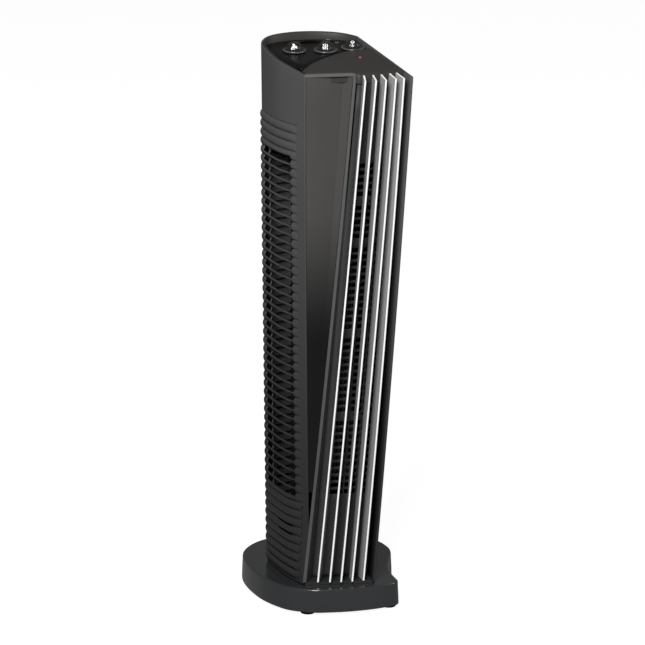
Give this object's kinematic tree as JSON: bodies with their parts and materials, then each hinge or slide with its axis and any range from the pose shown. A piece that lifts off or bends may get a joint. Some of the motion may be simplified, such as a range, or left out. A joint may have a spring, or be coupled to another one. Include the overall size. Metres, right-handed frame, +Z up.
{
  "type": "tower fan",
  "caption": "Tall floor-standing tower fan with ribbed side intake, upright twisting silver outlet blades, gloss fascia, sloping deck with rotary knobs and an oval weighted base.",
  "frame": {"origin": "centre of the bounding box on the floor, under the feet", "axes": "+Z up, the outlet blades face -Y, +X to the right seen from the front"},
  "size_m": [0.2192, 0.2874, 0.7933],
  "materials": {
    "satin_black": "moulded, fine satin grain",
    "deck_black": "dark satin",
    "gloss_black": "piano black gloss",
    "frame_grey": "satin dark grey",
    "brow_black": "satin warm black",
    "silver_blade": "satin silver",
    "base_black": "polished black",
    "smoke_knob": "smoky translucent gloss",
    "rubber_black": "matte",
    "iron_grey": "as cast",
    "steel": "zinc plated",
    "inner_black": "unpolished",
    "wheel_grey": "moulded",
    "red_lens": "clear red",
    "board_green": "solder mask",
    "heater_alu": "finned"
  },
  "bodies": {
    "stand": {"base_shell": "base_black", "base_plate": "inner_black", "base_ballast": "iron_grey", "foot_1": "rubber_black", "foot_2": "rubber_black", "foot_3": "rubber_black", "foot_4": "rubber_black", "foot_5": "rubber_black", "plate_screw_1": "steel", "plate_screw_2": "steel", "plate_screw_3": "steel", "plate_screw_4": "steel", "body_screw_1": "steel", "body_screw_2": "steel", "body_screw_3": "steel", "body_screw_4": "steel", "housing": "satin_black", "chassis_floor": "satin_black", "cord_gland": "rubber_black", "lower_bulkhead": "inner_black", "upper_bulkhead": "inner_black", "outlet_panel": "inner_black", "scroll_guide": "inner_black", "outlet_tongue": "inner_black", "heater_frame": "inner_black", "thermal_cutout": "inner_black", "fascia_frame": "frame_grey", "fascia_panel": "gloss_black", "blade_1": "silver_blade", "blade_2": "silver_blade", "blade_3": "silver_blade", "blade_4": "silver_blade", "blade_5": "silver_blade", "top_cap": "brow_black", "led_lens": "red_lens", "led_board": "board_green", "control_deck": "deck_black", "grip_cup": "deck_black", "switch_body_1": "inner_black", "switch_body_2": "inner_black", "switch_body_3": "inner_black", "top_bearing": "steel", "motor_bracket": "steel", "motor_can": "iron_grey", "heater_core_low": "heater_alu", "heater_core_high": "heater_alu"},
    "fan_knob": {"knob_1": "smoke_knob", "knob_shaft_1": "steel"},
    "heat_knob": {"knob_2": "smoke_knob", "knob_shaft_2": "steel"},
    "thermostat_knob": {"knob_3": "smoke_knob", "knob_shaft_3": "steel"},
    "blower": {"blower_wheel": "wheel_grey", "motor_shaft": "steel", "idler_shaft": "steel"}
  },
  "joints": [
    {"name": "blower_spin", "type": "hinge", "parent": "stand", "child": "blower", "pos_m": [-0.0131, 0.00045, 0.4], "axis": [0, 0, 1], "continuous": true},
    {"name": "fan_knob_turn", "type": "hinge", "parent": "stand", "child": "fan_knob", "pos_m": [-0.0426, 0.00545, 0.77968], "axis": [0, -0.061, 0.9981], "range_deg": [-135, 0]},
    {"name": "heat_knob_turn", "type": "hinge", "parent": "stand", "child": "heat_knob", "pos_m": [-0.0001, -0.00355, 0.77913], "axis": [0, -0.061, 0.9981], "range_deg": [-135, 0]},
    {"name": "thermostat_turn", "type": "hinge", "parent": "stand", "child": "thermostat_knob", "pos_m": [0.0407, 0.00005, 0.77935], "axis": [0, -0.061, 0.9981], "range_deg": [-135, 135]}
  ]
}
